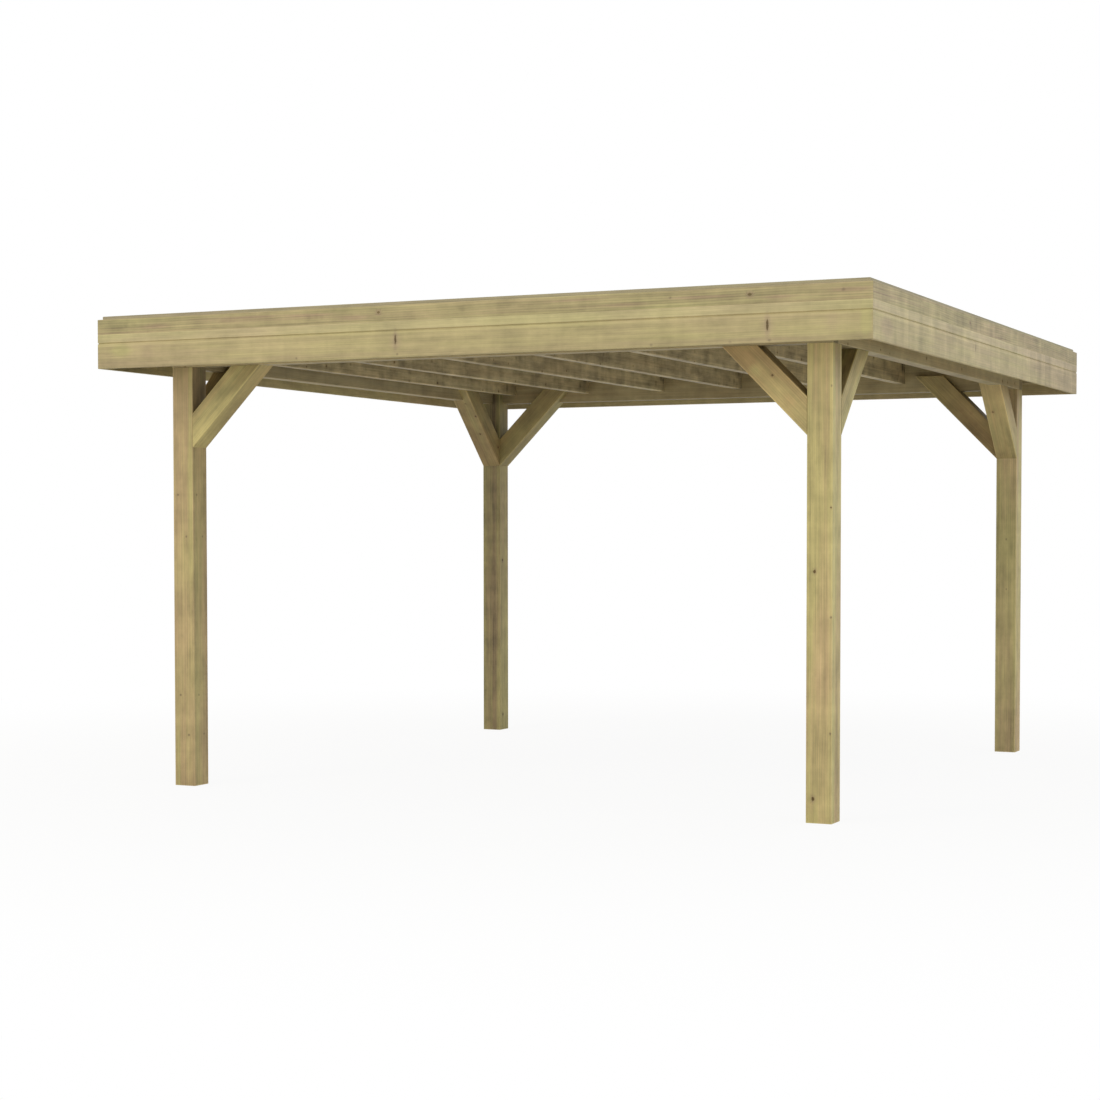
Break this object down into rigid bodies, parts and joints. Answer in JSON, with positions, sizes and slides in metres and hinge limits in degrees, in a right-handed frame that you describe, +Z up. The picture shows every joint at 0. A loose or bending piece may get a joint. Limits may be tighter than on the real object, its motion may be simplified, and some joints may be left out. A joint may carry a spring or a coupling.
{
  "type": "garden pergola with a flat boarded roof",
  "caption": "Free-standing square timber garden pergola: corner posts with knee braces carry a ring of beams, joists, a flat boarded roof and a grooved fascia.",
  "frame": {"origin": "on the ground under the middle of the roof", "axes": "+Z up, +X from left to right along the front, +Y from front to back"},
  "size_m": [4, 4, 2.35],
  "materials": {
    "posts": "planed pressure-treated softwood, eased edges, small knots",
    "braces": "planed pressure-treated softwood, eased edges",
    "ring_beams": "planed pressure-treated softwood",
    "joists": "planed pressure-treated softwood",
    "roof_edge_timbers": "sawn pressure-treated softwood",
    "roof_boards": "planed tongue and groove softwood boards",
    "fascia_lower": "planed pressure-treated softwood board with a V groove",
    "fascia_upper": "planed pressure-treated softwood board, streaked",
    "kerb": "planed pressure-treated softwood",
    "screws": "zinc-plated heads of countersunk wood screws, dulled"
  },
  "bodies": {
    "root": {"post_front_left": "posts", "post_front_right": "posts", "post_back_left": "posts", "post_back_right": "posts", "brace_front_left_front": "braces", "brace_front_left_side": "braces", "brace_front_right_front": "braces", "brace_front_right_side": "braces", "brace_back_left_back": "braces", "brace_back_left_side": "braces", "brace_back_right_back": "braces", "brace_back_right_side": "braces", "beam_front": "ring_beams", "beam_back": "ring_beams", "beam_left": "ring_beams", "beam_right": "ring_beams", "joist_1": "joists", "joist_2": "joists", "joist_3": "joists", "joist_4": "joists", "joist_5": "joists", "joist_6": "joists", "joist_7": "joists", "outriggers_front": "roof_edge_timbers", "outriggers_back": "roof_edge_timbers", "outriggers_left": "roof_edge_timbers", "outriggers_right": "roof_edge_timbers", "rim_front": "roof_edge_timbers", "rim_back": "roof_edge_timbers", "rim_left": "roof_edge_timbers", "rim_right": "roof_edge_timbers", "roof_deck": "roof_boards", "fascia_lower_front": "fascia_lower", "fascia_lower_back": "fascia_lower", "fascia_lower_left": "fascia_lower", "fascia_lower_right": "fascia_lower", "fascia_upper_front": "fascia_upper", "fascia_upper_back": "fascia_upper", "fascia_upper_left": "fascia_upper", "fascia_upper_right": "fascia_upper", "kerb_front": "kerb", "kerb_back": "kerb", "kerb_left": "kerb", "kerb_right": "kerb"}
  },
  "joints": []
}
